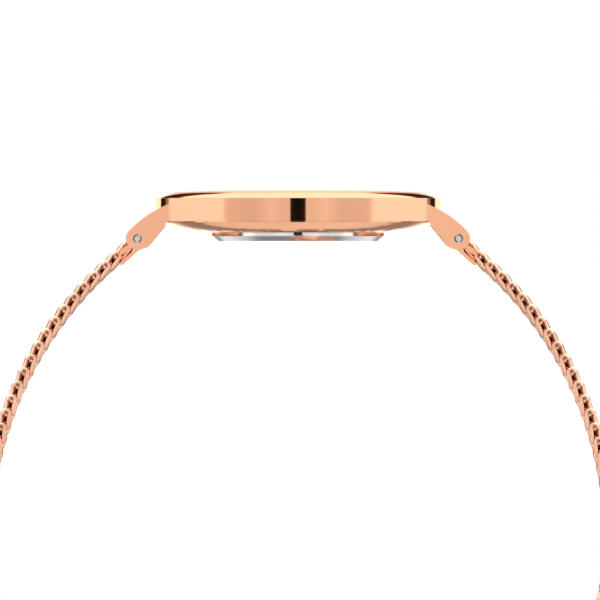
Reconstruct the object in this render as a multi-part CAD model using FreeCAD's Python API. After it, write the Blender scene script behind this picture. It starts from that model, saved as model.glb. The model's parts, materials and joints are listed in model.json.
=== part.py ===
import FreeCAD, Part
import math
import os

# A slim round hybrid smartwatch on a woven mesh strap.
# Origin: centre of the caseback's outer face. +Z up to the crystal, -X towards 12 o'clock,
# +X towards 6 o'clock, +Y towards the crown at 3 o'clock. Millimetres.

V = FreeCAD.Vector
UP = V(0, 0, 1)
ALONG_Y = V(0, 1, 0)

# ---- case
case_radius = 18.0
underside_z = 1.08          # the caseback stands this far below the case
bevel_inner_radius = 13.0
bevel_outer_radius = 17.3
bevel_top_z = 2.33
bevel_middle_radius = 15.3  # the underside turns flatter inside this radius
bevel_middle_z = 1.66
groove_height = 0.12
groove_depth = 0.7          # cut in from the band
band_top_z = 5.32
floor_thickness = 0.52
cavity_radius = 15.05
cavity_step_z = 2.45        # the cavity is wide above this height and narrow below it
well_radius = 13.2          # the narrow part, inside the sloping underside
rebate_radius = 16.35       # seat of the bezel's lip
rebate_depth = 0.42
back_opening_radius = 10.4

# ---- bezel and crystal
bezel_top_z = 6.23
bezel_inner_radius = 15.5
bezel_lip_clearance = 0.03
crystal_radius = 15.2
crystal_thickness = 1.06
crystal_below_top = 0.05

# ---- caseback
back_radius = 11.0
back_chamfer = 0.62
back_floor = 0.5
plug_wall = 0.85
plug_clearance = 0.03
notch_width = 1.05
notch_height = 0.3
notch_depth = 0.5
seal_width = 0.3
seal_depth = 0.25

# ---- lugs
strap_width = 18.0
lug_gap_clearance = 0.1     # each side of the strap
lug_outer_y = 11.2
pin_x = 19.9
pin_z = 0.31
lug_tip_radius = 1.42
lug_hole_radius = 0.56
lug_top_x = 16.0
lug_top_z = 4.6
lug_low_z = 2.48
lug_belly_x = 18.45         # a point on the lug's long upper curve
lug_belly_z = 3.34
lug_heel_x = 18.57          # low corner between the long lower edge and the round tip
lug_heel_z = -0.62
lug_tip_start = 46.0        # degrees, where the upper curve meets the round tip
lug_tip_end = -122.0        # degrees, where the tip runs into the heel
lug_root_depth = 3.0        # how far the lug's root runs into the band
shoulder_x = 11.3
shoulder_bevel = 0.3

# ---- spring bars
bar_radius = 0.75
bar_bore_radius = 0.5
bar_half_length = strap_width / 2 - 0.1     # clear of the lugs by this and their own clearance
tip_radius = 0.42
tip_inset = 0.3             # tip end below the lug's outer face
tip_inner_y = 6.0
spring_coil_radius = 0.36
spring_wire_radius = 0.07
spring_pitch = 0.6

# ---- strap
strap_thickness = 1.5
strap_heading = 42.0        # degrees below level where the strap leaves the lugs
straight_start = 5.0        # length along the strap before it starts to curve
side_bend_radius = 46.2
lower_bend_radius = 29.0
row_pitch = 1.85
rows_per_segment = 5
segments_12 = 6
segments_6 = 8
tail_length = 26.0
hinge_clearance = 0.1
barrel_radius = 1.38
barrel_clearance = 0.06
leaf_thickness = 0.33
leaf_gap = 0.15
leaf_weld_inset = 0.5       # the weld under the mesh stops this far short of its side edges
leaf_length = 3.7

# ---- hook end, clasp and tip
hook_end_length = 8.0
hook_end_wall = 1.2
hook_bar_radius = 0.6
clasp_length = 12.0
clasp_wall = 0.5
clasp_clearance = 0.15
clasp_start = 5.0           # from the tail's hinge
clasp_pin_radius = 0.4
clasp_pin_clearance = 0.05
cover_thickness = 0.5
cover_barrel_radius = 0.85
cover_hook_drop = 0.5
lock_thickness = 0.4
lock_length = 6.0
tip_cap_length = 1.8
tip_cap_wall = 0.35

# ---- movement, heights
cell_radius = 6.25
cell_thickness = 1.6
cell_z = 0.65
cell_x = -2.0
cell_y = -2.0
board_z = 1.75
board_thickness = 0.4
board_radius = 12.4
board_clearance = 0.05
board_shelf = 0.5           # width of the holder's shelf under the board
bridge_z = 2.42
bridge_thickness = 0.2
plate_z = 3.35
plate_thickness = 0.4
plate_radius = 13.9
holder_clearance = 0.05
holder_top_z = 4.12
dial_thickness = 0.2
dial_radius = 14.9
dial_ring_inner_radius = 14.3
hour_hand_z = 4.62
minute_hand_z = 4.86
hand_thickness = 0.1
pivot_clearance = 0.03

# ---- wheels: teeth, module, height of the wheel's underside
centre_teeth = 60
inter_pinion_teeth = 10
inter_teeth = 50
rotor_pinion_teeth = 10
train_module = 0.1
fast_module = 0.08
cannon_teeth = 10
minute_wheel_teeth = 30
minute_pinion_teeth = 8
hour_wheel_teeth = 32
motion_module = 0.09
wheel_thickness = 0.1
arbor_radius = 0.2
rotor_magnet_radius = 0.6
inter_bearing = 90.0        # degrees, direction of the intermediate wheel from the centre
rotor_bearing = 60.0        # direction of the rotor from the intermediate wheel
minute_bearing = -90.0      # direction of the minute wheel from the centre

# ---- crown
crown_z = 3.65
crown_radius = 2.0
crown_length = 2.3
crown_gap = 0.1
crown_flutes = 36
stem_radius = 0.4
stem_inner_y = 14.5
tube_radius = 0.9
tube_bore = 0.62

# ---- derived
cavity_floor_z = underside_z + floor_thickness
rebate_z = band_top_z - rebate_depth
dial_z = holder_top_z
crystal_top_z = bezel_top_z - crystal_below_top
crystal_z = crystal_top_z - crystal_thickness
plug_radius = back_opening_radius - plug_clearance
lug_inner_y = strap_width / 2 + lug_gap_clearance
segment_length = row_pitch * rows_per_segment


# ---------------------------------------------------------------- helpers
def ring(outer, inner, z, height, x=0.0, y=0.0):
    solid = Part.makeCylinder(outer, height, V(x, y, z))
    if inner > 0:
        solid = solid.cut(Part.makeCylinder(inner, height, V(x, y, z)))
    return solid


def rod_y(radius, y0, y1, x=0.0, z=0.0):
    return Part.makeCylinder(radius, y1 - y0, V(x, y0, z), ALONG_Y)


def block(x0, x1, y0, y1, z0, z1):
    return Part.makeBox(x1 - x0, y1 - y0, z1 - z0, V(x0, y0, z0))


def revolved(points):
    """Solid of revolution about Z from (radius, z) points."""
    corners = [V(r, 0, z) for r, z in points]
    face = Part.Face(Part.makePolygon(corners + corners[:1]))
    return face.revolve(V(0, 0, 0), UP, 360)


def prism_z(points, z0, z1):
    corners = [V(x, y, z0) for x, y in points]
    face = Part.Face(Part.makePolygon(corners + corners[:1]))
    return face.extrude(V(0, 0, z1 - z0))


def prism_y(edges, y0, y1):
    """Extrude a closed outline of edges in the XZ plane from y0 to y1."""
    wire = Part.Wire(edges)
    wire.translate(V(0, y0, 0))
    return Part.Face(wire).extrude(V(0, y1 - y0, 0))


def line(a, b):
    return Part.LineSegment(V(a[0], 0, a[1]), V(b[0], 0, b[1])).toShape()


def arc(a, via, b):
    return Part.Arc(V(a[0], 0, a[1]), V(via[0], 0, via[1]), V(b[0], 0, b[1])).toShape()


def polar(distance, bearing, x=0.0, y=0.0):
    angle = math.radians(bearing)
    return x + distance * math.cos(angle), y + distance * math.sin(angle)


def fused(solids):
    return solids[0].fuse(solids[1:]).removeSplitter()


def cut_all(solid, tools):
    return solid.cut(tools)


def wheel(teeth, module, z, thickness, x=0.0, y=0.0, start=0.0):
    """A spur wheel with straight-sided teeth, the first tooth centred on the start angle."""
    root = module * (teeth / 2 - 1.15)
    tip = module * (teeth / 2 + 0.85)
    step = 2 * math.pi / teeth
    points = []
    for n in range(teeth):
        middle = math.radians(start) + n * step
        for radius, share in ((root, -0.36), (tip, -0.12), (tip, 0.12), (root, 0.36)):
            angle = middle + share * step
            points.append((x + radius * math.cos(angle), y + radius * math.sin(angle)))
    return prism_z(points, z, z + thickness)


def export(name, solid):
    shape = solid.Solids[0] if len(solid.Solids) == 1 else solid
    shape.exportStep(f"parts/{name}.step")
    print(f"{name}: {len(shape.Solids)} solid, {shape.Volume:.3f} mm3, valid {shape.isValid()}")


# ---------------------------------------------------------------- case
def lug(side_x, side_y):
    """One lug: its side outline is two long edges and a round tip about the spring bar's axis."""
    tip_start = polar(lug_tip_radius, lug_tip_start, pin_x, pin_z)
    tip_middle = polar(lug_tip_radius, (lug_tip_start + lug_tip_end) / 2, pin_x, pin_z)
    tip_end = polar(lug_tip_radius, lug_tip_end, pin_x, pin_z)
    top = (lug_top_x, lug_top_z)
    heel = (lug_heel_x, lug_heel_z)
    low = (lug_top_x + 0.1, lug_low_z)
    root_x = lug_top_x - lug_root_depth
    outline = [
        line((root_x, lug_low_z), (root_x, lug_top_z)),
        line((root_x, lug_top_z), top),
        arc(top, (lug_belly_x, lug_belly_z), tip_start),
        arc(tip_start, tip_middle, tip_end),
        line(tip_end, heel),
        line(heel, low),
        line(low, (root_x, lug_low_z)),
    ]
    solid = prism_y(outline, lug_inner_y, lug_outer_y)
    hole = rod_y(lug_hole_radius, lug_inner_y - 1, lug_outer_y + 1, pin_x, pin_z)
    solid = solid.cut(hole)
    return place_corner(solid, side_x, side_y)


def place_corner(solid, side_x, side_y):
    if side_x < 0:
        solid = solid.mirror(V(0, 0, 0), V(1, 0, 0))
    if side_y < 0:
        solid = solid.mirror(V(0, 0, 0), V(0, 1, 0))
    return solid


def shoulder(side_x, side_y):
    """The flat-sided block that runs the round band into a lug."""
    shoulder_y = math.sqrt(case_radius ** 2 - shoulder_x ** 2)
    points = [
        (shoulder_x, shoulder_y),
        (lug_top_x - shoulder_bevel, lug_outer_y + shoulder_bevel),
        (lug_top_x, lug_outer_y),
        (lug_top_x, lug_inner_y),
        (shoulder_x, lug_inner_y),
    ]
    solid = prism_z(points, bevel_top_z + groove_height, band_top_z)
    return place_corner(solid, side_x, side_y)


def mid_case():
    groove_radius = case_radius - groove_depth
    band_z = bevel_top_z + groove_height
    body = revolved([
        (0, underside_z), (bevel_inner_radius, underside_z),
        (bevel_middle_radius, bevel_middle_z), (bevel_outer_radius, bevel_top_z),
        (groove_radius, bevel_top_z), (groove_radius, band_z), (case_radius, band_z),
        (case_radius, band_top_z), (0, band_top_z),
    ])
    corners = [(sx, sy) for sx in (-1, 1) for sy in (-1, 1)]
    body = fused([body] + [shoulder(*c) for c in corners] + [lug(*c) for c in corners])
    tube_hole = rod_y(tube_radius, cavity_radius - 1, case_radius + 1, 0, crown_z)
    return cut_all(body, [
        ring(cavity_radius, 0, cavity_step_z, band_top_z),
        ring(well_radius, 0, cavity_floor_z, band_top_z),
        ring(rebate_radius, 0, rebate_z, band_top_z),
        ring(back_opening_radius, 0, 0, underside_z + floor_thickness),
        tube_hole,
    ])


def bezel():
    lip_radius = rebate_radius - bezel_lip_clearance
    return revolved([
        (bezel_inner_radius, rebate_z), (lip_radius, rebate_z), (lip_radius, band_top_z),
        (case_radius, band_top_z), (case_radius - 0.3, band_top_z + 0.24),
        (case_radius - 1.5, bezel_top_z - 0.17), (case_radius - 2.2, bezel_top_z),
        (bezel_inner_radius, bezel_top_z),
    ])


def crystal():
    soften = 0.2
    return revolved([
        (0, crystal_z), (crystal_radius, crystal_z), (crystal_radius, crystal_top_z - soften),
        (crystal_radius - soften, crystal_top_z), (0, crystal_top_z),
    ])


def caseback():
    foot_z = 0.1
    plug_inner = plug_radius - plug_wall
    plug_top = cavity_floor_z
    body = revolved([
        (0, 0), (back_radius - back_chamfer - foot_z, 0), (back_radius - back_chamfer, foot_z),
        (back_radius, back_chamfer), (back_radius, underside_z), (plug_radius, underside_z),
        (plug_radius, plug_top), (plug_inner, plug_top), (plug_inner, back_floor), (0, back_floor),
    ])
    notch = block(-notch_width / 2, notch_width / 2, -back_radius - 1, -back_radius + notch_depth,
                  underside_z - notch_height, underside_z)
    seal_outer = plug_radius + seal_width
    groove = ring(seal_outer, plug_radius, underside_z - seal_depth, seal_depth)
    return cut_all(body, [notch, groove])


# ---------------------------------------------------------------- movement
inter_distance = train_module * (centre_teeth + inter_pinion_teeth) / 2
rotor_distance = fast_module * (inter_teeth + rotor_pinion_teeth) / 2
motion_distance = motion_module * (cannon_teeth + minute_wheel_teeth) / 2
hour_module = 2 * motion_distance / (minute_pinion_teeth + hour_wheel_teeth)
inter_x, inter_y = polar(inter_distance, inter_bearing)
rotor_x, rotor_y = polar(rotor_distance, rotor_bearing, inter_x, inter_y)
minute_x, minute_y = polar(motion_distance, minute_bearing)

lower_wheel_z = bridge_z + bridge_thickness + 0.15
upper_wheel_z = plate_z - 0.2
cannon_z = plate_z + plate_thickness + 0.02
pipe_inner = 0.36
pipe_outer = 0.6


def meshing_start(teeth, bearing_back):
    """Start angle that puts a gap of a wheel on the line towards its driver."""
    return bearing_back + 180.0 / teeth


def centre_wheel():
    """Centre wheel, its arbor up to the minute hand, and the cannon pinion on it."""
    top = minute_hand_z + hand_thickness
    bottom = bridge_z + 0.02
    arbor = Part.makeCylinder(arbor_radius, top - bottom, V(0, 0, bottom))
    teeth = wheel(centre_teeth, train_module, lower_wheel_z, wheel_thickness, start=inter_bearing)
    cannon = wheel(cannon_teeth, motion_module, cannon_z, 0.14, start=minute_bearing)
    return fused([teeth, arbor, cannon])


def intermediate_wheel():
    bottom = bridge_z + 0.02
    top = plate_z + plate_thickness * 0.7
    arbor = Part.makeCylinder(arbor_radius, top - bottom, V(inter_x, inter_y, bottom))
    gap = meshing_start(inter_pinion_teeth, inter_bearing + 180)
    pinion = wheel(inter_pinion_teeth, train_module, lower_wheel_z - 0.05,
                   wheel_thickness + 0.1, inter_x, inter_y, gap)
    upper = wheel(inter_teeth, fast_module, upper_wheel_z, wheel_thickness, inter_x, inter_y,
                  rotor_bearing)
    return fused([upper, arbor, pinion])


def rotor():
    bottom = bridge_z + 0.02
    top = plate_z + plate_thickness * 0.7
    arbor = Part.makeCylinder(arbor_radius, top - bottom, V(rotor_x, rotor_y, bottom))
    magnet = Part.makeCylinder(rotor_magnet_radius, 0.3, V(rotor_x, rotor_y, lower_wheel_z - 0.05))
    gap = meshing_start(rotor_pinion_teeth, rotor_bearing + 180)
    pinion = wheel(rotor_pinion_teeth, fast_module, upper_wheel_z - 0.03,
                   wheel_thickness + 0.06, rotor_x, rotor_y, gap)
    return fused([magnet, arbor, pinion])


def minute_wheel():
    gap = meshing_start(minute_wheel_teeth, minute_bearing + 180)
    lower = wheel(minute_wheel_teeth, motion_module, cannon_z, wheel_thickness,
                  minute_x, minute_y, gap)
    pinion = wheel(minute_pinion_teeth, hour_module, cannon_z + wheel_thickness, 0.14,
                   minute_x, minute_y, minute_bearing + 180)
    arbor = Part.makeCylinder(arbor_radius, 0.36, V(minute_x, minute_y, cannon_z - 0.12))
    return fused([lower, pinion, arbor])


def hour_wheel():
    z = cannon_z + 0.16
    gap = meshing_start(hour_wheel_teeth, minute_bearing)
    teeth = wheel(hour_wheel_teeth, hour_module, z, 0.08, start=gap)
    pipe = Part.makeCylinder(pipe_outer, hour_hand_z + hand_thickness - z, V(0, 0, z))
    bore = Part.makeCylinder(pipe_inner, 3, V(0, 0, z - 1))
    return fused([teeth, pipe]).cut(bore)


def pivot_holes(z, height, radius=arbor_radius + pivot_clearance):
    places = ((0, 0), (inter_x, inter_y), (rotor_x, rotor_y))
    return [Part.makeCylinder(radius, height, V(x, y, z)) for x, y in places]


def bridge_screw_places():
    return [(-4.2, 6.6), (4.2, 1.6), (-4.2, 2.0)]


def main_plate():
    body = ring(plate_radius, 0, plate_z, plate_thickness)
    screw = [Part.makeCylinder(0.3, 0.3, V(x, y, plate_z)) for x, y in bridge_screw_places()]
    bores = pivot_holes(plate_z - 1, plate_thickness + 2)
    seat = Part.makeCylinder(arbor_radius + pivot_clearance, 0.2,
                             V(minute_x, minute_y, plate_z + plate_thickness - 0.15))
    return cut_all(body, bores + screw + [seat])


def train_bridge():
    """A bar under the wheels, on three feet that stand up to the main plate."""
    body = block(-5, 5, 1.2, 7.6, bridge_z, bridge_z + bridge_thickness)
    nose = Part.makeCylinder(0.9, bridge_thickness, V(0, 0, bridge_z))
    tab = block(-0.9, 0.9, 0, 1.3, bridge_z, bridge_z + bridge_thickness)
    feet = []
    for x, y in bridge_screw_places():
        feet.append(Part.makeCylinder(0.55, plate_z - bridge_z, V(x, y, bridge_z)))
    body = fused([body, nose, tab] + feet)
    screw = [Part.makeCylinder(0.3, 2, V(x, y, bridge_z)) for x, y in bridge_screw_places()]
    return cut_all(body, pivot_holes(bridge_z - 1, 2) + screw)


def bridge_screws():
    made = []
    for x, y in bridge_screw_places():
        shank = Part.makeCylinder(0.27, plate_z + 0.28 - bridge_z, V(x, y, bridge_z))
        head = Part.makeCylinder(0.5, 0.15, V(x, y, bridge_z - 0.15))
        slot = block(x - 0.6, x + 0.6, y - 0.06, y + 0.06, bridge_z - 0.15, bridge_z - 0.08)
        made.append(fused([shank, head]).cut(slot))
    return Part.makeCompound(made)


coil_y0 = 8.3
coil_x0 = -1.4
coil_x1 = 4.8
coil_depth = 1.6            # across the winding
core_inset = 0.4            # core to the winding's outer face
leg_width = 1.4
leg_gap = 0.1               # leg to the winding's end
pole_y0 = 4.6
pole_y1 = 6.7
stator_z = lower_wheel_z - 0.02
stator_thickness = 0.25


def stator():
    """A flat loop: a pole bar round the rotor, two legs, and the core through the coil."""
    z1 = stator_z + stator_thickness
    reach = leg_gap + leg_width
    core_y0 = coil_y0 + core_inset
    core_y1 = coil_y0 + coil_depth - core_inset
    pole = block(coil_x0 - reach, coil_x1 + reach, pole_y0, pole_y1, stator_z, z1)
    left = block(coil_x0 - reach, coil_x0 - leg_gap, pole_y0, core_y1, stator_z, z1)
    right = block(coil_x1 + leg_gap, coil_x1 + reach, pole_y0, core_y1, stator_z, z1)
    core = block(coil_x0 - reach, coil_x1 + reach, core_y0, core_y1, stator_z, z1)
    body = fused([pole, left, right, core])
    hole = Part.makeCylinder(rotor_magnet_radius + 0.12, 2, V(rotor_x, rotor_y, stator_z - 1))
    feet = [Part.makeCylinder(0.6, 2, V(x, y, stator_z - 1)) for x, y in bridge_screw_places()]
    return cut_all(body, [hole] + feet)


def motor_coil():
    z1 = stator_z + stator_thickness
    around = block(coil_x0, coil_x1, coil_y0, coil_y0 + coil_depth, stator_z - 0.12, z1 + 0.25)
    window = block(coil_x0, coil_x1, coil_y0 + core_inset, coil_y0 + coil_depth - core_inset,
                   stator_z, z1)
    return around.cut(window)


def circuit_board():
    body = ring(board_radius, 0, board_z, board_thickness)
    cell_hole = Part.makeCylinder(cell_radius + 0.2, 2, V(cell_x, cell_y, board_z - 1))
    return body.cut(cell_hole)


def chip(x, y, size_x, size_y, height):
    z = board_z + board_thickness
    return block(x - size_x / 2, x + size_x / 2, y - size_y / 2, y + size_y / 2, z, z + height)


def coin_cell():
    """The can with its smaller negative cap below."""
    cap = Part.makeCylinder(cell_radius - 0.6, 0.3, V(cell_x, cell_y, cell_z))
    can = Part.makeCylinder(cell_radius, cell_thickness - 0.3, V(cell_x, cell_y, cell_z + 0.3))
    return fused([cap, can])


def battery_contact():
    """A strip over the cell's can, with a foot down on the board."""
    top = cell_z + cell_thickness
    reach = cell_x - cell_radius - 2.2
    strip = block(reach, cell_x - cell_radius + 1.6, cell_y - 1.0, cell_y + 1.0, top, top + 0.12)
    foot = block(reach, reach + 1.0, cell_y - 1.0, cell_y + 1.0, board_z + board_thickness, top)
    return fused([strip, foot])


def movement_holder():
    """Stepped plastic ring: shelf for the board, seat for the main plate, rim for the dial."""
    outer = cavity_radius - holder_clearance
    skirt = well_radius - holder_clearance
    bore = board_radius + board_clearance
    plate_bore = plate_radius + board_clearance
    body = revolved([
        (board_radius - board_shelf, cavity_floor_z), (skirt, cavity_floor_z),
        (skirt, cavity_step_z), (outer, cavity_step_z), (outer, holder_top_z),
        (plate_bore, holder_top_z), (plate_bore, plate_z), (bore, plate_z),
        (bore, board_z), (board_radius - board_shelf, board_z),
    ])
    stem_way = rod_y(stem_radius + 0.15, plate_radius - 1, outer + 1, 0, crown_z)
    return body.cut(stem_way)


def dial():
    return ring(dial_radius, pipe_outer + 0.1, dial_z, dial_thickness)


def dial_markers():
    made = []
    z = dial_z + dial_thickness
    for n in range(12):
        length = 2.6 if n % 3 == 0 else 1.8
        width = 0.5 if n % 3 == 0 else 0.35
        bar = block(13.4 - length, 13.4, -width / 2, width / 2, z, z + 0.14)
        bar.rotate(V(0, 0, 0), UP, 30 * n)
        made.append(bar)
    return Part.makeCompound(made)


def dial_ring():
    z = dial_z + dial_thickness
    return revolved([
        (dial_ring_inner_radius, z), (cavity_radius - 0.05, z),
        (cavity_radius - 0.05, crystal_z), (dial_ring_inner_radius + 0.3, crystal_z),
    ])


def hand(length, tail, width, z, hub, bore, bearing):
    """A slim pointed hand with a round boss, lying along +X before it is turned."""
    blade = prism_z([(-tail, -width * 0.45), (length * 0.9, -width / 2), (length, 0),
                     (length * 0.9, width / 2), (-tail, width * 0.45)], z, z + hand_thickness)
    boss = Part.makeCylinder(hub, hand_thickness, V(0, 0, z))
    body = fused([blade, boss]).cut(Part.makeCylinder(bore, 2, V(0, 0, z - 1)))
    body.rotate(V(0, 0, 0), UP, bearing)
    return body


# ---------------------------------------------------------------- crown
def crown():
    y0 = case_radius + crown_gap
    body = rod_y(crown_radius, y0, y0 + crown_length, 0, crown_z)
    flutes = []
    for n in range(crown_flutes):
        angle = 2 * math.pi * n / crown_flutes
        x = crown_radius * math.cos(angle)
        z = crown_z + crown_radius * math.sin(angle)
        flutes.append(rod_y(0.09, y0 + 0.3, y0 + crown_length - 0.3, x, z))
    recess = rod_y(crown_radius - 0.5, y0 - 1, y0 + 0.7, 0, crown_z)
    body = cut_all(body, flutes + [recess])
    return cut_all(body, [rod_y(stem_radius, y0, y0 + crown_length - 0.5, 0, crown_z)])


def crown_stem():
    y1 = case_radius + crown_gap + crown_length - 0.5
    seal_y = case_radius - 0.9
    body = rod_y(stem_radius, stem_inner_y, y1, 0, crown_z)
    neck = rod_y(stem_radius, seal_y, seal_y + 0.5, 0, crown_z)
    neck = neck.cut(rod_y(stem_radius - 0.12, seal_y, seal_y + 0.5, 0, crown_z))
    return body.cut(neck)


def crown_gasket():
    seal_y = case_radius - 0.9
    body = rod_y(tube_bore - 0.02, seal_y + 0.02, seal_y + 0.48, 0, crown_z)
    return body.cut(rod_y(stem_radius - 0.1, seal_y, seal_y + 0.5, 0, crown_z))


def crown_tube():
    y0 = cavity_radius + 0.3
    body = rod_y(tube_radius, y0, case_radius + 0.3, 0, crown_z)
    return body.cut(rod_y(tube_bore, y0 - 1, case_radius + 1, 0, crown_z))


# ---------------------------------------------------------------- spring bars
def bar_tube(side):
    body = rod_y(bar_radius, -bar_half_length, bar_half_length, side * pin_x, pin_z)
    return body.cut(rod_y(bar_bore_radius, -bar_half_length, bar_half_length, side * pin_x, pin_z))


def bar_tip(side, end):
    body = rod_y(tip_radius, tip_inner_y, lug_outer_y - tip_inset, pin_x, pin_z)
    return place_corner(body, side, end)


def bar_spring(side):
    height = 2 * tip_inner_y - 0.3
    helix = Part.makeHelix(spring_pitch, height, spring_coil_radius)
    profile = Part.Wire(Part.makeCircle(spring_wire_radius, V(spring_coil_radius, 0, 0), ALONG_Y))
    body = Part.Wire(helix).makePipeShell([profile], True, True)
    body.rotate(V(0, 0, 0), V(1, 0, 0), -90)
    body.translate(V(side * pin_x, -height / 2, pin_z))
    return body


# ---------------------------------------------------------------- strap
def strap_point(s):
    """Centreline of the 6 o'clock half: x, z and heading below level, s along from the bar."""
    start = math.radians(strap_heading)
    s1 = min(s, straight_start)
    x = pin_x + s1 * math.cos(start)
    z = pin_z - s1 * math.sin(start)
    if s <= straight_start:
        return x, z, strap_heading
    quarter = math.radians(90 - strap_heading) * side_bend_radius
    s2 = min(s - straight_start, quarter)
    angle = start + s2 / side_bend_radius
    x += side_bend_radius * (math.sin(angle) - math.sin(start))
    z += side_bend_radius * (math.cos(angle) - math.cos(start))
    if s - straight_start <= quarter:
        return x, z, math.degrees(angle)
    s3 = s - straight_start - quarter
    angle = math.pi / 2 + s3 / lower_bend_radius
    x += lower_bend_radius * (math.sin(angle) - 1)
    z += lower_bend_radius * math.cos(angle)
    return x, z, math.degrees(angle)


def offset_point(s, out):
    """Point beside the centreline, out from the wrist."""
    x, z, heading = strap_point(s)
    angle = math.radians(heading)
    return x + out * math.sin(angle), z + out * math.cos(angle)


def hinge_place(n):
    """Distance along the strap of the joint after segment n."""
    return straight_start + n * segment_length


def mesh_segment(n, last=False):
    """Curved plate of the mesh's outer size, bead at its far end, socket at its near one."""
    half = strap_thickness / 2
    s0 = hinge_place(n - 1)
    s1 = hinge_place(n)
    middle = (s0 + s1) / 2
    outline = [
        arc(offset_point(s0, half), offset_point(middle, half), offset_point(s1, half)),
        line(offset_point(s1, half), offset_point(s1, -half)),
        arc(offset_point(s1, -half), offset_point(middle, -half), offset_point(s0, -half)),
        line(offset_point(s0, -half), offset_point(s0, half)),
    ]
    width = strap_width / 2
    body = prism_y(outline, -width, width)
    if not last:
        x, z, _ = strap_point(s1)
        body = fused([body, rod_y(half, -width, width, x, z)])
    x, z, _ = strap_point(s0)
    return body.cut(rod_y(half + hinge_clearance, -width, width, x, z))


def first_segment():
    """The mesh from the end piece to the first joint: straight, then curved."""
    half = strap_thickness / 2
    width = strap_width / 2
    s0, s1, s2 = barrel_radius * 0.8, straight_start, hinge_place(1)
    middle = (s1 + s2) / 2
    outline = [
        line(offset_point(s0, half), offset_point(s1, half)),
        arc(offset_point(s1, half), offset_point(middle, half), offset_point(s2, half)),
        line(offset_point(s2, half), offset_point(s2, -half)),
        arc(offset_point(s2, -half), offset_point(middle, -half), offset_point(s1, -half)),
        line(offset_point(s1, -half), offset_point(s0, -half)),
        line(offset_point(s0, -half), offset_point(s0, half)),
    ]
    x, z, _ = strap_point(s2)
    body = fused([prism_y(outline, -width, width), rod_y(half, -width, width, x, z)])
    return body.cut(rod_y(barrel_radius, -width, width, pin_x, pin_z))


def strap_slab(s0, s1, out0, out1, half_width):
    """Flat slab along the strap's straight start."""
    corners = [offset_point(s, out) for s, out in ((s0, out0), (s1, out0), (s1, out1), (s0, out1))]
    edges = [line(corners[n], corners[(n + 1) % 4]) for n in range(4)]
    return prism_y(edges, -half_width, half_width)


def end_piece():
    """Barrel round the spring bar, with a leaf welded under the mesh."""
    width = strap_width / 2
    weld_half = width - leaf_weld_inset
    mesh_face = -strap_thickness / 2
    lower = mesh_face - leaf_gap
    body = rod_y(barrel_radius, -width, width, pin_x, pin_z)
    leaf = strap_slab(0, leaf_length, lower - leaf_thickness, lower, width)
    weld = strap_slab(0, leaf_length, lower, mesh_face, weld_half)
    bore = rod_y(bar_radius + barrel_clearance, -width, width, pin_x, pin_z)
    return fused([body, leaf, weld]).cut(bore)


def side_of(solid, side):
    return solid if side > 0 else solid.mirror(V(0, 0, 0), V(1, 0, 0))


# Local frame of a straight run: x along the strap from its hinge, z out from the wrist.
def at_strap(solid, s):
    x, z, heading = strap_point(s)
    moved = solid.copy()
    moved.Placement = FreeCAD.Placement(V(x, 0, z), FreeCAD.Rotation(ALONG_Y, heading))
    return moved


def hook_end():
    """Frame welded to the mesh's end, with a cross bar that the clasp's hook catches."""
    half = strap_thickness / 2
    width = strap_width / 2
    body = block(0, hook_end_length, -width, width, -half, half)
    window = block(3.0, hook_end_length - hook_end_wall, -width + hook_end_wall,
                   width - hook_end_wall, -half, half)
    body = body.cut(window)
    bar = rod_y(hook_bar_radius, -width + hook_end_wall, width - hook_end_wall, 5.2, 0)
    return fused([body, bar])


def mesh_tail():
    half = strap_thickness / 2
    width = strap_width / 2
    body = block(0, tail_length, -width, width, -half, half)
    return body.cut(rod_y(half + hinge_clearance, -width, width))


def tip_cap():
    """Folded cap over the mesh's cut end."""
    half = strap_thickness / 2
    width = strap_width / 2
    outer = block(tail_length - tip_cap_length + tip_cap_wall, tail_length + tip_cap_wall,
                  -width, width, -half - tip_cap_wall, half + tip_cap_wall)
    return outer.cut(block(0, tail_length, -width - 1, width + 1, -half, half))


sleeve_half = strap_thickness / 2 + clasp_clearance
sleeve_y = strap_width / 2 + clasp_clearance
clasp_end = clasp_start + clasp_length
cover_axis_x = clasp_start + 1.0
cover_axis_z = sleeve_half + clasp_wall + cover_barrel_radius + 0.05
lock_axis_x = clasp_end - 1.0
lock_axis_z = -sleeve_half - clasp_wall - clasp_pin_radius - 0.4
ear_thickness = 1.0


def clasp_body():
    """Flat sleeve round the mesh with ears for the cover's pin above and the lock's below."""
    outer_y = sleeve_y + clasp_wall
    body = block(clasp_start, clasp_end, -outer_y, outer_y, -sleeve_half - clasp_wall,
                 sleeve_half + clasp_wall)
    way = block(clasp_start - 1, clasp_end + 1, -sleeve_y, sleeve_y, -sleeve_half, sleeve_half)
    window = block(lock_axis_x - lock_length, lock_axis_x - 2.5, -5.0, 5.0,
                   -sleeve_half - clasp_wall - 1, -sleeve_half + 0.1)
    ears = []
    for x, z, radius in ((cover_axis_x, cover_axis_z, cover_barrel_radius),
                         (lock_axis_x, lock_axis_z, 0.75)):
        for y0 in (-outer_y, outer_y - ear_thickness):
            ears.append(rod_y(radius, y0, y0 + ear_thickness, x, z))
            ears.append(block(x - radius, x + radius, y0, y0 + ear_thickness,
                              min(z, 0), max(z, 0)))
    body = cut_all(fused([body] + ears), [way, window])
    holes = [rod_y(clasp_pin_radius, -outer_y, outer_y, cover_axis_x, cover_axis_z),
             rod_y(clasp_pin_radius, -outer_y, outer_y, lock_axis_x, lock_axis_z)]
    return cut_all(body, holes)


def clasp_pin(x, z):
    outer_y = sleeve_y + clasp_wall
    return rod_y(clasp_pin_radius, -outer_y, outer_y, x, z)


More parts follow.
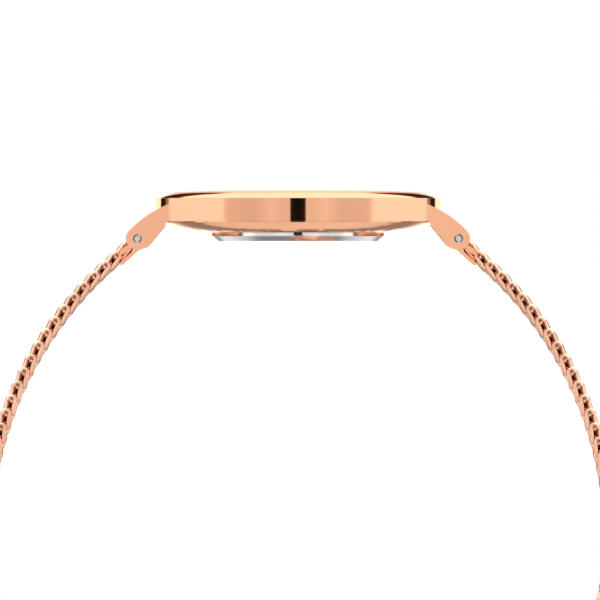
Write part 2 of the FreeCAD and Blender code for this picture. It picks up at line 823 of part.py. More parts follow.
def clasp_cover():
    """Plate over the clasp, turning on its barrel, with a hook at its free end."""
    inner_y = sleeve_y + clasp_wall - ear_thickness - 0.1
    low = cover_axis_z - cover_barrel_radius + 0.02
    plate = block(cover_axis_x, clasp_end, -inner_y, inner_y, low, low + cover_thickness)
    barrel = rod_y(cover_barrel_radius - 0.05, -inner_y, inner_y, cover_axis_x, cover_axis_z)
    tongue = block(clasp_end, clasp_end + 2.4, -4.0, 4.0, low, low + cover_thickness)
    hook = block(clasp_end + 1.9, clasp_end + 2.4, -4.0, 4.0, low - cover_hook_drop, low)
    body = fused([plate, barrel, tongue, hook])
    bore = rod_y(clasp_pin_radius + clasp_pin_clearance, -inner_y, inner_y,
                 cover_axis_x, cover_axis_z)
    return body.cut(bore)


def lock_plate():
    """Lever under the clasp that presses the mesh against the sleeve."""
    inner_y = sleeve_y + clasp_wall - ear_thickness - 0.1
    top = lock_axis_z + 0.2
    plate = block(lock_axis_x - lock_length, lock_axis_x, -inner_y, inner_y,
                  top - lock_thickness, top)
    barrel = rod_y(0.7, -inner_y, inner_y, lock_axis_x, lock_axis_z)
    body = fused([plate, barrel])
    bore = rod_y(clasp_pin_radius + clasp_pin_clearance, -inner_y, inner_y,
                 lock_axis_x, lock_axis_z)
    return body.cut(bore)


# ---------------------------------------------------------------- write
os.makedirs("parts", exist_ok=True)

export("mid_case", mid_case())
export("bezel", bezel())
export("crystal", crystal())
export("crystal_gasket", ring(bezel_inner_radius, crystal_radius, crystal_z, 0.85))
export("caseback", caseback())
export("caseback_gasket", ring(plug_radius + seal_width, plug_radius,
                               underside_z - seal_depth, seal_depth))

export("centre_wheel", centre_wheel())
export("intermediate_wheel", intermediate_wheel())
export("rotor", rotor())
export("minute_wheel", minute_wheel())
export("hour_wheel", hour_wheel())
export("main_plate", main_plate())
export("train_bridge", train_bridge())
export("bridge_screws", bridge_screws())
export("motor_stator", stator())
export("motor_coil", motor_coil())
export("circuit_board", circuit_board())
export("radio_chip", chip(7.6, -5.0, 4.0, 4.0, 0.8))
export("quartz_can", chip(10.2, 1.5, 1.6, 3.2, 0.7))
export("coin_cell", coin_cell())
export("battery_contact", battery_contact())
export("movement_holder", movement_holder())
export("dial", dial())
export("dial_markers", dial_markers())
export("dial_ring", dial_ring())
export("hour_hand", hand(8.6, 0, 0.8, hour_hand_z, 1.1, pipe_outer, 125))
export("minute_hand", hand(12.6, 3.2, 0.6, minute_hand_z, 0.8, arbor_radius, 240))

export("crown", crown())
export("crown_stem", crown_stem())
export("crown_gasket", crown_gasket())
export("crown_tube", crown_tube())

export("bar_tubes", Part.makeCompound([bar_tube(-1), bar_tube(1)]))
export("bar_springs", Part.makeCompound([bar_spring(-1), bar_spring(1)]))
for side, name in ((-1, "12"), (1, "6")):
    export(f"bar_tip_{name}_front", bar_tip(side, -1))
    export(f"bar_tip_{name}_back", bar_tip(side, 1))
    export(f"end_piece_{name}", side_of(end_piece(), side))
    export(f"mesh_{name}_1", side_of(first_segment(), side))
    for n in range(2, (segments_12 if side < 0 else segments_6) + 1):
        last = side < 0 and n == segments_12
        export(f"mesh_{name}_{n}", side_of(mesh_segment(n, last), side))

export("hook_end", side_of(at_strap(hook_end(), hinge_place(segments_12)), -1))
tail_s = hinge_place(segments_6)
export("mesh_tail", at_strap(mesh_tail(), tail_s))
export("tip_cap", at_strap(tip_cap(), tail_s))
export("clasp_body", at_strap(clasp_body(), tail_s))
export("clasp_cover", at_strap(clasp_cover(), tail_s))
export("lock_plate", at_strap(lock_plate(), tail_s))
pins = [clasp_pin(cover_axis_x, cover_axis_z), clasp_pin(lock_axis_x, lock_axis_z)]
export("clasp_pins", at_strap(Part.makeCompound(pins), tail_s))

for n in range(1, segments_6 + 1):
    x, z, heading = strap_point(hinge_place(n))
    print(f"hinge {n}: x {x:.3f} z {z:.3f} heading {heading:.2f}")
print(f"wheels: intermediate {inter_x:.3f} {inter_y:.3f}, rotor {rotor_x:.3f} {rotor_y:.3f}, "
      f"minute {minute_x:.3f} {minute_y:.3f}")
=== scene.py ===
import bpy
import json
import math
from mathutils import Matrix, Vector


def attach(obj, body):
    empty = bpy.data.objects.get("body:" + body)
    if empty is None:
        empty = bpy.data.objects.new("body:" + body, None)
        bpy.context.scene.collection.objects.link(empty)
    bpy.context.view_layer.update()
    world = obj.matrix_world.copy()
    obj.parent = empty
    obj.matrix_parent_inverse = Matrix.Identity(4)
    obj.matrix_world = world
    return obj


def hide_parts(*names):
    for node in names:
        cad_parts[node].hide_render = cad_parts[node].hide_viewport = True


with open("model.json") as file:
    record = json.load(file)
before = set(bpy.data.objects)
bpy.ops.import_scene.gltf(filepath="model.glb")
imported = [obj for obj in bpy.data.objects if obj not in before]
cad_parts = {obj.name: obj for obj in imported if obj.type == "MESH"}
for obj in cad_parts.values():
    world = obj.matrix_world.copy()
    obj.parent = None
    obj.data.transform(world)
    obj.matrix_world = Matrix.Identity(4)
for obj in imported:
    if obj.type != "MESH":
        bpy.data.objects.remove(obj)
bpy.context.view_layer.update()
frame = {"nodes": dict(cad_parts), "record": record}
print("frame loaded", len(frame["nodes"]), "nodes")

mm = 0.001
nodes = frame["nodes"]
bodyOf = {name: body for body, names in frame["record"]["behaviour"]["bodies"].items() for name in names}
slotOf = {row["node"]: row["material_slot"] for row in frame["record"]["subparts"]}

# the strap's run, the same route as the solids
strap = {
    "pinX": 19.9 * mm, "pinZ": 0.31 * mm,
    "heading": 42.0,                # degrees below level at the lugs
    "straight": 5.0 * mm,
    "sideRadius": 46.2 * mm, "lowerRadius": 29.0 * mm,
    "rowsPerSegment": 5, "segments12": 6, "segments6": 8,
    "tailRows": 13, "firstRows": 7,
}

# one woven row: a flat coil of wire right across the strap
weave = {
    "pitch": 1.85 * mm,             # row to row
    "halfWidth": 9.0 * mm,
    "wire": 0.3 * mm,              # wire radius
    "halfLength": 1.22 * mm,         # centreline, along the strap
    "halfThickness": 0.45 * mm,     # centreline, through the strap
    "start": 0.72,                  # share of a loop where each wire begins, at the near round end
    "lean": -10.0,                  # degrees, each loop tips over the next row's end
    "turns": 17.5,
    "stepsPerTurn": 16,
    "rodPlace": 2.1 * mm, "rodRadius": 0.3 * mm, "rodLength": 1.8 * mm, "rodHalfWidth": 8.8 * mm,
    "bow": 0.75 * mm,               # how far each row bows along the strap at mid width
    # painted shade tone, darkening the wire's inner side and the strap's middle layer where cavity shade
    # falls
    "paintedShadeTone": (0.16, 0.05, 0.025),
    "shadeInnerShare": 1.5,              # lower paints shade over more of the wire's inner side
    "shadeDepth": 0.95 * mm,         # from here in, the strap's middle layer gets painted shade
    "shadeDepthFade": 0.3 * mm,
    "faceStart": 0.25 * mm,         # height where the two faces begin to show, free of painted shade
    "faceFade": 0.15 * mm,
}

camera = {
    "lens": 1500.0, "frameWidth": 74.6 * mm, "sensor": 36.0,
    "aim": Vector((0.25 * mm, 0.0, -7.3 * mm)),
}

studio = {
    "flagDistance": 0.12, "flagHalfWidth": 12.0 * mm, "flagHeight": 0.07,
    "softLight": 0.55,              # share of the room's light that falls on matt surfaces
    # brightness of the room by direction: (degrees, level)
    "horizon": (                    # degrees round from the camera, the same on both sides
        (0, 1.08), (12, 1.0), (22, 1.14), (34, 0.93), (56, 0.98), (60, 1.06), (63, 1.5), (79, 1.5),
        (80, 1.1), (86, 1.1), (87, 1.7), (94, 1.7), (97, 0.5), (130, 0.4), (133, 0.02), (142, 0.02),
        (143, 2.1), (180, 2.2),
    ),
    "ahead": (                      # degrees above level, on the camera's side
        (-90, 0.3), (-62, 0.3), (-54, 0.7), (-20, 1.0), (10, 1.0), (36, 1.6), (42, 2.05), (90, 2.05),
    ),
    "behind": (                     # degrees above level, beyond the watch
        (-90, 0.3), (-62, 0.3), (-54, 0.7), (-34, 1.12), (-27, 0.95), (-25, 0.36), (-18, 0.4),
        (-15, 1.0), (-12, 1.5), (18, 2.0), (19, 0.02), (33, 0.05), (35, 2.05), (90, 2.05),
    ),
    "clearMiddle": (172.0, 174.0),  # no dark strip straight behind the watch
    "horizonHalf": (11.0, 13.0),    # where the horizon's levels give way to the other two
    "backStart": (100.0, 120.0),
}


# ---- materials

def newGroup(name, inputs, outputs):
    group = bpy.data.node_groups.new(name, "ShaderNodeTree")
    for label, value in inputs:
        socket = group.interface.new_socket(label, in_out="INPUT", socket_type="NodeSocketFloat")
        socket.default_value = value
    for label in outputs:
        group.interface.new_socket(label, in_out="OUTPUT", socket_type="NodeSocketFloat")
    return group


def addNode(tree, kind, **values):
    node = tree.nodes.new(kind)
    for key, value in values.items():
        setattr(node, key, value)
    return node


def mathNode(tree, operation, a, b):
    node = addNode(tree, "ShaderNodeMath", operation=operation)
    for index, value in enumerate((a, b)):
        if isinstance(value, (int, float)):
            node.inputs[index].default_value = value
        else:
            tree.links.new(value, node.inputs[index])
    return node.outputs[0]


def makeSatin():
    # soft cloudy wear plus hair-fine scratches, for every polished or satin metal
    group = newGroup("satinWear", [("Cloud Size", 500.0), ("Scratch Size", 6000.0), ("Stretch", 0.05),
                                   ("Base", 0.15), ("Spread", 0.08)], ["Roughness", "Height"])
    start = addNode(group, "NodeGroupInput")
    end = addNode(group, "NodeGroupOutput")
    place = addNode(group, "ShaderNodeTexCoord")
    cloud = addNode(group, "ShaderNodeTexNoise")
    cloud.inputs["Detail"].default_value = 3.0
    group.links.new(place.outputs["Object"], cloud.inputs["Vector"])
    group.links.new(start.outputs["Cloud Size"], cloud.inputs["Scale"])
    squeeze = addNode(group, "ShaderNodeCombineXYZ")
    group.links.new(start.outputs["Stretch"], squeeze.inputs["X"])
    squeeze.inputs["Y"].default_value = 1.0
    squeeze.inputs["Z"].default_value = 1.0
    long = addNode(group, "ShaderNodeVectorMath", operation="MULTIPLY")
    group.links.new(place.outputs["Object"], long.inputs[0])
    group.links.new(squeeze.outputs["Vector"], long.inputs[1])
    scratch = addNode(group, "ShaderNodeTexNoise")
    scratch.inputs["Detail"].default_value = 2.0
    group.links.new(long.outputs["Vector"], scratch.inputs["Vector"])
    group.links.new(start.outputs["Scratch Size"], scratch.inputs["Scale"])
    both = mathNode(group, "ADD", cloud.outputs["Fac"], scratch.outputs["Fac"])
    centred = mathNode(group, "SUBTRACT", both, 1.0)
    spread = mathNode(group, "MULTIPLY", centred, start.outputs["Spread"])
    rough = mathNode(group, "ADD", spread, start.outputs["Base"])
    group.links.new(rough, end.inputs["Roughness"])
    group.links.new(scratch.outputs["Fac"], end.inputs["Height"])
    return group


def makeTurned():
    # rings about a Z axis through the watch's centre, as a lathe or a rotary brush leaves them
    group = newGroup("turnedRings", [("Ring Size", 9000.0), ("Base", 0.25), ("Spread", 0.2)],
                     ["Roughness", "Height"])
    start = addNode(group, "NodeGroupInput")
    end = addNode(group, "NodeGroupOutput")
    place = addNode(group, "ShaderNodeTexCoord")
    parts = addNode(group, "ShaderNodeSeparateXYZ")
    group.links.new(place.outputs["Object"], parts.inputs["Vector"])
    xx = mathNode(group, "MULTIPLY", parts.outputs["X"], parts.outputs["X"])
    yy = mathNode(group, "MULTIPLY", parts.outputs["Y"], parts.outputs["Y"])
    radius = mathNode(group, "SQRT", mathNode(group, "ADD", xx, yy), 0.0)
    ringLine = addNode(group, "ShaderNodeCombineXYZ")
    group.links.new(radius, ringLine.inputs["X"])
    noise = addNode(group, "ShaderNodeTexNoise")
    noise.inputs["Detail"].default_value = 2.0
    group.links.new(ringLine.outputs["Vector"], noise.inputs["Vector"])
    group.links.new(start.outputs["Ring Size"], noise.inputs["Scale"])
    centred = mathNode(group, "SUBTRACT", noise.outputs["Fac"], 0.5)
    spread = mathNode(group, "MULTIPLY", centred, start.outputs["Spread"])
    rough = mathNode(group, "ADD", spread, start.outputs["Base"])
    group.links.new(rough, end.inputs["Roughness"])
    group.links.new(noise.outputs["Fac"], end.inputs["Height"])
    return group


def makeRays():
    # fine rays out from the centre, as a sunray-brushed dial has
    group = newGroup("sunRays", [("Count", 220.0), ("Base", 0.3), ("Spread", 0.25)],
                     ["Roughness", "Height"])
    start = addNode(group, "NodeGroupInput")
    end = addNode(group, "NodeGroupOutput")
    place = addNode(group, "ShaderNodeTexCoord")
    parts = addNode(group, "ShaderNodeSeparateXYZ")
    group.links.new(place.outputs["Object"], parts.inputs["Vector"])
    angle = mathNode(group, "ARCTAN2", parts.outputs["Y"], parts.outputs["X"])
    line = addNode(group, "ShaderNodeCombineXYZ")
    group.links.new(angle, line.inputs["X"])
    noise = addNode(group, "ShaderNodeTexNoise")
    noise.inputs["Detail"].default_value = 2.0
    group.links.new(line.outputs["Vector"], noise.inputs["Vector"])
    group.links.new(start.outputs["Count"], noise.inputs["Scale"])
    centred = mathNode(group, "SUBTRACT", noise.outputs["Fac"], 0.5)
    spread = mathNode(group, "MULTIPLY", centred, start.outputs["Spread"])
    rough = mathNode(group, "ADD", spread, start.outputs["Base"])
    group.links.new(rough, end.inputs["Roughness"])
    group.links.new(noise.outputs["Fac"], end.inputs["Height"])
    return group


satinWear = makeSatin()
turnedRings = makeTurned()
sunRays = makeRays()


def surface(name, color, metallic, group, groupValues, bump, glance=(1.0, 1.0, 1.0), coat=0.0):
    material = bpy.data.materials.new(name)
    material.use_nodes = True
    tree = material.node_tree
    shader = tree.nodes["Principled BSDF"]
    shader.inputs["Base Color"].default_value = (*color, 1.0)
    shader.inputs["Metallic"].default_value = metallic
    shader.inputs["Specular Tint"].default_value = (*glance, 1.0)
    shader.inputs["Coat Weight"].default_value = coat
    effect = addNode(tree, "ShaderNodeGroup", node_tree=group)
    for label, value in groupValues.items():
        effect.inputs[label].default_value = value
    tree.links.new(effect.outputs["Roughness"], shader.inputs["Roughness"])
    relief = addNode(tree, "ShaderNodeBump")
    relief.inputs["Strength"].default_value = bump
    relief.inputs["Distance"].default_value = 0.01 * mm
    tree.links.new(effect.outputs["Height"], relief.inputs["Height"])
    tree.links.new(relief.outputs["Normal"], shader.inputs["Normal"])
    return material


def colorClouds(material, dark, light, size):
    # a slow drift between two near tones
    tree = material.node_tree
    place = addNode(tree, "ShaderNodeTexCoord")
    noise = addNode(tree, "ShaderNodeTexNoise")
    noise.inputs["Scale"].default_value = size
    ramp = addNode(tree, "ShaderNodeValToRGB")
    ramp.color_ramp.elements[0].position = 0.35
    ramp.color_ramp.elements[1].position = 0.65
    ramp.color_ramp.elements[0].color = (*dark, 1.0)
    ramp.color_ramp.elements[1].color = (*light, 1.0)
    tree.links.new(place.outputs["Object"], noise.inputs["Vector"])
    tree.links.new(noise.outputs["Fac"], ramp.inputs["Fac"])
    tree.links.new(ramp.outputs["Color"], tree.nodes["Principled BSDF"].inputs["Base Color"])
    return material


def paintShadeInHollows(material, dark):
    # painted shade on the wire's inner side and deep inside the strap, standing in for the shade in the
    # weave's hollows
    tree = material.node_tree
    unshadedShare = addNode(tree, "ShaderNodeAttribute", attribute_name="paintedShadeMask")
    blend = addNode(tree, "ShaderNodeMix", data_type="RGBA")
    base = tree.nodes["Principled BSDF"].inputs["Base Color"]
    clouds = base.links[0].from_socket
    blend.inputs["A"].default_value = (*dark, 1.0)
    tree.links.new(unshadedShare.outputs["Fac"], blend.inputs["Factor"])
    tree.links.new(clouds, blend.inputs["B"])
    tree.links.new(blend.outputs["Result"], base)
    return material


def makeCrystal():
    material = bpy.data.materials.new("crystal")
    material.use_nodes = True
    tree = material.node_tree
    shader = tree.nodes["Principled BSDF"]
    shader.inputs["Base Color"].default_value = (0.97, 0.985, 0.99, 1.0)
    shader.inputs["Transmission Weight"].default_value = 1.0
    shader.inputs["IOR"].default_value = 1.5
    place = addNode(tree, "ShaderNodeTexCoord")
    smear = addNode(tree, "ShaderNodeTexNoise")
    smear.inputs["Scale"].default_value = 260.0
    ramp = addNode(tree, "ShaderNodeMapRange")
    ramp.inputs["To Min"].default_value = 0.0
    ramp.inputs["To Max"].default_value = 0.03
    tree.links.new(place.outputs["Object"], smear.inputs["Vector"])
    tree.links.new(smear.outputs["Fac"], ramp.inputs["Value"])
    tree.links.new(ramp.outputs["Result"], shader.inputs["Roughness"])
    return material


roseTone = (0.83, 0.415, 0.252)
roseGlance = (0.95, 0.78, 0.66)
finishes = {
    "rose_gold": colorClouds(surface("roseGold", roseTone, 1.0, satinWear,
                                     {"Cloud Size": 160.0, "Base": 0.06, "Spread": 0.03}, 0.02, roseGlance),
                             (0.81, 0.40, 0.24), (0.85, 0.43, 0.262), 90.0),
    "rose_gold_mesh": colorClouds(surface("roseGoldWire", roseTone, 1.0, satinWear,
                                          {"Cloud Size": 400.0, "Base": 0.13, "Spread": 0.06},
                                          0.03, roseGlance),
                                  (0.86, 0.48, 0.33), (0.93, 0.56, 0.40), 300.0),
    "caseback_steel": surface("turnedSteel", (0.74, 0.72, 0.70), 1.0, turnedRings,
                              {"Ring Size": 9000.0, "Base": 0.15, "Spread": 0.1}, 0.12),
    "steel": surface("satinSteel", (0.66, 0.65, 0.66), 1.0, satinWear,
                     {"Cloud Size": 700.0, "Base": 0.24, "Spread": 0.1}, 0.08),
    "brass": colorClouds(surface("brass", (0.80, 0.60, 0.28), 1.0, satinWear,
                                 {"Cloud Size": 600.0, "Base": 0.26, "Spread": 0.1}, 0.08),
                         (0.72, 0.52, 0.23), (0.84, 0.65, 0.33), 500.0),
    "crystal": makeCrystal(),
    "white_nylon": surface("whiteNylon", (0.82, 0.82, 0.79), 0.0, satinWear,
                           {"Base": 0.5, "Spread": 0.15}, 0.2),
    "seal_rubber": surface("sealRubber", (0.02, 0.02, 0.022), 0.0, satinWear,
                           {"Base": 0.6, "Spread": 0.2}, 0.3),
    "copper_wire": surface("copperWire", (0.80, 0.36, 0.16), 1.0, satinWear,
                           {"Scratch Size": 9000.0, "Base": 0.28, "Spread": 0.2}, 0.8),
    "board_green": colorClouds(surface("boardGreen", (0.03, 0.16, 0.07), 0.0, satinWear,
                                       {"Base": 0.3, "Spread": 0.1}, 0.15, coat=0.4),
                               (0.02, 0.12, 0.05), (0.05, 0.22, 0.09), 700.0),
    "chip_black": surface("chipBlack", (0.02, 0.02, 0.02), 0.0, satinWear,
                          {"Base": 0.45, "Spread": 0.15}, 0.2),
    "dial_white": surface("dialSilk", (0.40, 0.385, 0.36), 0.75, sunRays,
                          {"Count": 260.0, "Base": 0.33, "Spread": 0.22}, 0.35),
    "hands_gold": surface("handsGold", roseTone, 1.0, satinWear,
                          {"Base": 0.12, "Spread": 0.06}, 0.04),
}
print("materials made", len(finishes))


# paint shade into the mesh wire's hollows
paintShadeInHollows(finishes["rose_gold_mesh"], weave["paintedShadeTone"])


def dress(piece, finish):
    piece.data.materials.clear()
    piece.data.materials.append(finishes[finish])


for nodeName, nodeObject in nodes.items():
    dress(nodeObject, slotOf[nodeName])


# ---- helpers for shaping

def onlyActive(piece):
    bpy.ops.object.select_all(action="DESELECT")
    piece.select_set(True)
    bpy.context.view_layer.objects.active = piece


def finishPiece(piece, name, body, finish):
    piece.name = name
    dress(piece, finish)
    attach(piece, body)
    return piece


rounding = {
    "merge": 0.0005 * mm,
    "flat": 0.3,                    # degrees, faces this near to flat become one
    "edgeAngle": 25.0, "steps": 2,
    "tipWidth": 0.08 * mm, "tipAngle": 60.0,
}


def softened(nodeName, width, angle):
    # a copy of a solid with its hard edges rounded off, which stands in for the solid
    source = nodes[nodeName]
    piece = bpy.data.objects.new(nodeName + "_soft", source.data.copy())
    bpy.context.scene.collection.objects.link(piece)
    onlyActive(piece)
    bpy.ops.mesh.customdata_custom_splitnormals_clear()
    bpy.ops.object.mode_set(mode="EDIT")
    bpy.ops.mesh.select_all(action="SELECT")
    bpy.ops.mesh.remove_doubles(threshold=rounding["merge"])
    bpy.ops.mesh.dissolve_limited(angle_limit=math.radians(rounding["flat"]))
    bpy.ops.object.mode_set(mode="OBJECT")
    bpy.ops.object.shade_smooth_by_angle(angle=math.radians(angle))
    bevel = piece.modifiers.new("edge", "BEVEL")
    bevel.width = width
    bevel.segments = rounding["steps"]
    bevel.limit_method = "ANGLE"
    bevel.angle_limit = math.radians(angle)
    bevel.harden_normals = True
    bevel.miter_outer = "MITER_ARC"
    bpy.ops.object.modifier_apply(modifier="edge")
    finishPiece(piece, nodeName + "_soft", bodyOf[nodeName], slotOf[nodeName])
    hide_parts(nodeName)
    return piece


# ---- the woven strap

def strapPoint(s):
    # centreline of the 6 o'clock half: x, z and the heading below level
    start = math.radians(strap["heading"])
    straight = min(s, strap["straight"])
    x = strap["pinX"] + straight * math.cos(start)
    z = strap["pinZ"] - straight * math.sin(start)
    if s <= strap["straight"]:
        return x, z, start
    quarter = (math.pi / 2 - start) * strap["sideRadius"]
    side = min(s - strap["straight"], quarter)
    angle = start + side / strap["sideRadius"]
    x += strap["sideRadius"] * (math.sin(angle) - math.sin(start))
    z += strap["sideRadius"] * (math.cos(angle) - math.cos(start))
    if s - strap["straight"] <= quarter:
        return x, z, angle
    angle = math.pi / 2 + (s - strap["straight"] - quarter) / strap["lowerRadius"]
    x += strap["lowerRadius"] * (math.sin(angle) - 1)
    z += strap["lowerRadius"] * math.cos(angle)
    return x, z, angle


def stadium(t):
    # a flat loop: two straight runs and two round ends, t from 0 to 1 round it
    a, b = weave["halfLength"], weave["halfThickness"]
    straight = 2 * (a - b)
    loop = 2 * straight + 2 * math.pi * b
    d = (t % 1.0) * loop
    if d < straight:
        return d - straight / 2, -b
    d -= straight
    if d < math.pi * b:
        turn = d / b
        return straight / 2 + b * math.sin(turn), -b * math.cos(turn)
    d -= math.pi * b
    if d < straight:
        return straight / 2 - d, b
    turn = (d - straight) / b
    return -straight / 2 - b * math.sin(turn), b * math.cos(turn)


def markPaintedShade(mesh, lean, reach):
    # 1 where the wire shows unshaded, 0 (painted shade) inside the loops and deep between the strap's two
    # faces
    a, b = weave["halfLength"], weave["halfThickness"]
    unshadedShare = mesh.attributes.new("paintedShadeMask", "FLOAT", "POINT")
    for vertex in mesh.vertices:
        x, y, z = vertex.co
        x -= weave["bow"] * (1 - (y / reach) ** 2)
        flatX = x * math.cos(lean) + z * math.sin(lean)
        flatZ = z * math.cos(lean) - x * math.sin(lean)
        away = math.hypot(max(abs(flatX) - (a - b), 0.0), flatZ) - b
        shown = min(1.0, max(0.0, weave["shadeInnerShare"] + away / weave["wire"]))
        deep = (reach + weave["wire"] - abs(y) - weave["shadeDepth"]) / weave["shadeDepthFade"]
        raised = (abs(z) - weave["faceStart"]) / weave["faceFade"]
        unshadedShare.data[vertex.index].value = shown * min(1.0, max(0.0, 1.0 - deep, raised))


def makeRow():
    # one coil of wire, along Y, its loops flat in the XZ plane
    count = int(weave["turns"] * weave["stepsPerTurn"]) + 1
    reach = weave["halfWidth"] - weave["wire"]
    lean = math.radians(weave["lean"])
    curve = bpy.data.curves.new("rowWire", "CURVE")
    curve.dimensions = "3D"
    curve.bevel_depth = weave["wire"]
    curve.bevel_resolution = 1
    curve.use_fill_caps = True
    spline = curve.splines.new("POLY")
    spline.points.add(count - 1)
    for n in range(count):
        share = n / (count - 1)
        flatX, flatZ = stadium(share * weave["turns"] + weave["start"])
        y = -reach + 2 * reach * share
        x = flatX * math.cos(lean) - flatZ * math.sin(lean) + weave["bow"] * (1 - (y / reach) ** 2)
        z = flatX * math.sin(lean) + flatZ * math.cos(lean)
        spline.points[n].co = (x, y, z, 1.0)
    row = bpy.data.objects.new("rowWire", curve)
    bpy.context.scene.collection.objects.link(row)
    onlyActive(row)
    bpy.ops.object.convert(target="MESH")
    row = bpy.context.object
    markPaintedShade(row.data, lean, reach)
    bpy.ops.object.shade_smooth()
    return row


rowSource = makeRow()


def placeRow(s, side):
    row = bpy.data.objects.new("row", rowSource.data.copy())
    bpy.context.scene.collection.objects.link(row)
    x, z, heading = strapPoint(s)
    if side > 0:
        turn = Matrix.Rotation(heading, 4, "Y")
    else:
        turn = Matrix.Rotation(math.pi - heading, 4, "Y") @ Matrix.Scale(-1, 4, (0, 0, 1))
    row.data.transform(Matrix.Translation((side * x, 0, z)) @ turn)
    return row


def weaveSegment(name, side, distances):
    rows = [placeRow(s, side) for s in distances]
    bpy.ops.object.select_all(action="DESELECT")
    for row in rows:
        row.select_set(True)
    bpy.context.view_layer.objects.active = rows[0]
    bpy.ops.object.join()
    piece = rows[0]
    if side < 0:
        bpy.ops.object.mode_set(mode="EDIT")
        bpy.ops.mesh.select_all(action="SELECT")
        bpy.ops.mesh.flip_normals()
        bpy.ops.object.mode_set(mode="OBJECT")
    finishPiece(piece, name + "_weave", bodyOf[name], "rose_gold_mesh")
    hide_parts(name)
    return piece


def addRod(label, side):
    # the flat rod that holds the first loops of the mesh against the barrel
    x, z, heading = strapPoint(weave["rodPlace"])
    bpy.ops.mesh.primitive_cylinder_add(radius=weave["rodRadius"], depth=2 * weave["rodHalfWidth"],
                                        vertices=32, rotation=(math.pi / 2, 0, 0))
    bpy.ops.object.transform_apply(location=True, rotation=True, scale=True)
    rod = bpy.context.object
    stretch = weave["rodLength"] / (2 * weave["rodRadius"])
    rod.data.transform(Matrix.Scale(stretch, 4, (1, 0, 0)))
    rod.data.transform(Matrix.Translation((side * x, 0, z)) @ Matrix.Rotation(side * heading, 4, "Y"))
    bpy.ops.object.shade_smooth_by_angle(angle=math.radians(40.0))
    finishPiece(rod, f"mesh_rod_{label}", bodyOf[f"mesh_{label}_1"], "rose_gold")


def weaveHalf(label, side, segments):
    addRod(label, side)
    step = weave["pitch"]
    length = step * strap["rowsPerSegment"]
    firstEnd = strap["straight"] + length
    distances = [firstEnd - (k + 0.5) * step for k in reversed(range(strap["firstRows"]))]
    weaveSegment(f"mesh_{label}_1", side, distances)
    for n in range(2, segments + 1):
        start = strap["straight"] + (n - 1) * length
        distances = [start + (k + 0.5) * step for k in range(strap["rowsPerSegment"])]
        weaveSegment(f"mesh_{label}_{n}", side, distances)


weaveHalf("12", -1, strap["segments12"])
weaveHalf("6", 1, strap["segments6"])
print("strap woven")


def weaveTail():
    start = strap["straight"] + strap["segments6"] * weave["pitch"] * strap["rowsPerSegment"]
    x, z, heading = strapPoint(start)
    rows = []
    for k in range(strap["tailRows"]):
        row = bpy.data.objects.new("row", rowSource.data.copy())
        bpy.context.scene.collection.objects.link(row)
        along = Matrix.Translation(((k + 0.5) * weave["pitch"], 0, 0))
        row.data.transform(Matrix.Translation((x, 0, z)) @ Matrix.Rotation(heading, 4, "Y") @ along)
        rows.append(row)
    bpy.ops.object.select_all(action="DESELECT")
    for row in rows:
        row.select_set(True)
    bpy.context.view_layer.objects.active = rows[0]
    bpy.ops.object.join()
    finishPiece(rows[0], "mesh_tail_weave", bodyOf["mesh_tail"], "rose_gold_mesh")
    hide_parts("mesh_tail")


weaveTail()
bpy.data.objects.remove(rowSource)


# ---- hard parts with softened edges
edgeWidths = {
    "mid_case": 0.09 * mm, "bezel": 0.05 * mm, "caseback": 0.05 * mm, "crown": 0.04 * mm,
    "end_piece_12": 0.05 * mm, "end_piece_6": 0.05 * mm, "hook_end": 0.1 * mm,
    "tip_cap": 0.06 * mm, "clasp_body": 0.07 * mm, "clasp_cover": 0.07 * mm,
    "lock_plate": 0.06 * mm, "crystal": 0.04 * mm,
}
for nodeName, width in edgeWidths.items():
    softened(nodeName, width, rounding["edgeAngle"])
for tip in ("bar_tip_12_front", "bar_tip_12_back", "bar_tip_6_front", "bar_tip_6_back"):
    softened(tip, rounding["tipWidth"], rounding["tipAngle"])
print("edges softened")


# ---- studio

def makeCamera():
    distance = camera["frameWidth"] * camera["lens"] / camera["sensor"]
    place = camera["aim"] + Vector((0, -distance, 0))
    bpy.ops.object.camera_add(location=place, rotation=(math.pi / 2, 0, 0))
    eye = bpy.context.object
    eye.data.lens = camera["lens"]
    eye.data.sensor_width = camera["sensor"]
    eye.data.clip_start = 0.01
    eye.data.clip_end = 1000.0
    bpy.context.scene.camera = eye


def plainMaterial(name, color):
    material = bpy.data.materials.new(name)
    material.use_nodes = True
    shader = material.node_tree.nodes["Principled BSDF"]
    shader.inputs["Base Color"].default_value = (*color, 1.0)
    shader.inputs["Roughness"].default_value = 0.9
    shader.inputs["Specular IOR Level"].default_value = 0.0
    return material


def glossyOnly(thing):
    thing.visible_camera = False
    thing.visible_diffuse = False
    thing.visible_transmission = False
    thing.visible_shadow = False


def makeFlag():
    # a narrow black flag near the lens, seen only as a dark stripe in the case's band
    bpy.ops.mesh.primitive_plane_add(size=1.0, location=(0, -studio["flagDistance"], 0),
                                     rotation=(math.pi / 2, 0, 0))
    flag = bpy.context.object
    flag.name = "stripeFlag"
    flag.scale = (2 * studio["flagHalfWidth"], studio["flagHeight"], 1.0)
    flag.data.materials.append(plainMaterial("blackFlag", (0.01, 0.01, 0.01)))
    glossyOnly(flag)


def levelRamp(tree, angle, stops, start, span):
    # brightness by angle, as straight runs between the stops
    past = mathNode(tree, "SUBTRACT", angle, math.radians(start))
    share = mathNode(tree, "DIVIDE", past, math.radians(span))
    ramp = addNode(tree, "ShaderNodeValToRGB")
    elements = ramp.color_ramp.elements
    while len(elements) < len(stops):
        elements.new(0.5)
    for element, (degrees, level) in zip(elements, stops):
        element.position = (degrees - start) / span
        element.color = (level, level, level, 1.0)
    tree.links.new(share, ramp.inputs["Fac"])
    return ramp.outputs["Color"]


def stepUp(tree, value, low, high):
    ramp = addNode(tree, "ShaderNodeMapRange")
    ramp.inputs["From Min"].default_value = low
    ramp.inputs["From Max"].default_value = high
    tree.links.new(value, ramp.inputs["Value"])
    return ramp.outputs["Result"]


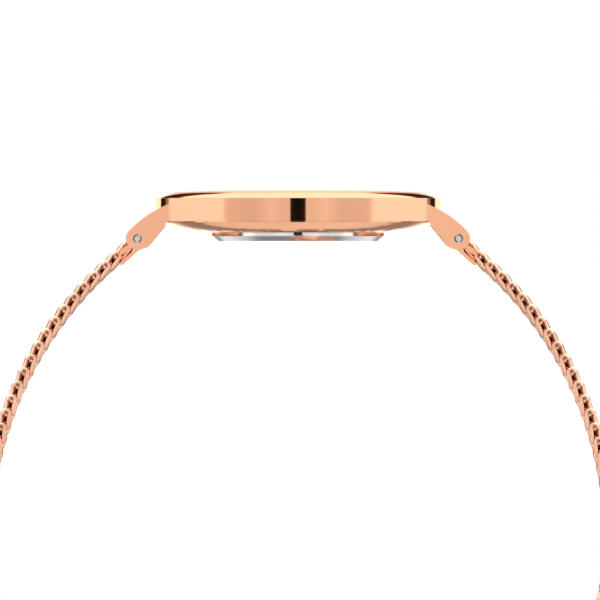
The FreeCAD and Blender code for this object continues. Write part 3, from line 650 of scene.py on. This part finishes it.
def mixed(tree, first, second, share):
    # first where the share is 0, second where it is 1
    change = mathNode(tree, "SUBTRACT", second, first)
    return mathNode(tree, "ADD", first, mathNode(tree, "MULTIPLY", change, share))


def makeRoom():
    # a white studio: bright above and behind, dark strips where the polished edges mirror them
    world = bpy.data.worlds.new("studioRoom")
    bpy.context.scene.world = world
    world.use_nodes = True
    tree = world.node_tree
    place = addNode(tree, "ShaderNodeTexCoord")
    parts = addNode(tree, "ShaderNodeSeparateXYZ")
    tree.links.new(place.outputs["Generated"], parts.inputs["Vector"])
    aside = mathNode(tree, "ABSOLUTE", parts.outputs["X"], 0.0)
    ahead = mathNode(tree, "MULTIPLY", parts.outputs["Y"], -1.0)
    around = mathNode(tree, "ARCTAN2", aside, ahead)
    above = mathNode(tree, "ARCSINE", parts.outputs["Z"], 0.0)
    horizon = levelRamp(tree, around, studio["horizon"], 0, 180)
    front = levelRamp(tree, above, studio["ahead"], -90, 180)
    back = levelRamp(tree, above, studio["behind"], -90, 180)
    clear = stepUp(tree, around, *(math.radians(a) for a in studio["clearMiddle"]))
    clear = mathNode(tree, "MULTIPLY", clear, mathNode(tree, "GREATER_THAN", above, 0.0))
    back = mixed(tree, back, front, clear)
    behindShare = stepUp(tree, around, *(math.radians(a) for a in studio["backStart"]))
    heightShare = stepUp(tree, mathNode(tree, "ABSOLUTE", above, 0.0),
                         *(math.radians(a) for a in studio["horizonHalf"]))
    level = mixed(tree, horizon, mixed(tree, front, back, behindShare), heightShare)
    path = addNode(tree, "ShaderNodeLightPath")
    matt = mathNode(tree, "MULTIPLY", level, studio["softLight"])
    level = mixed(tree, level, matt, path.outputs["Is Diffuse Ray"])
    level = mixed(tree, level, 1.0, path.outputs["Is Camera Ray"])
    tree.links.new(level, tree.nodes["Background"].inputs["Strength"])
    tree.nodes["Background"].inputs["Color"].default_value = (1.0, 1.0, 1.0, 1.0)


makeCamera()
makeFlag()
makeRoom()
bpy.context.scene.view_settings.view_transform = "Standard"
print("studio set")
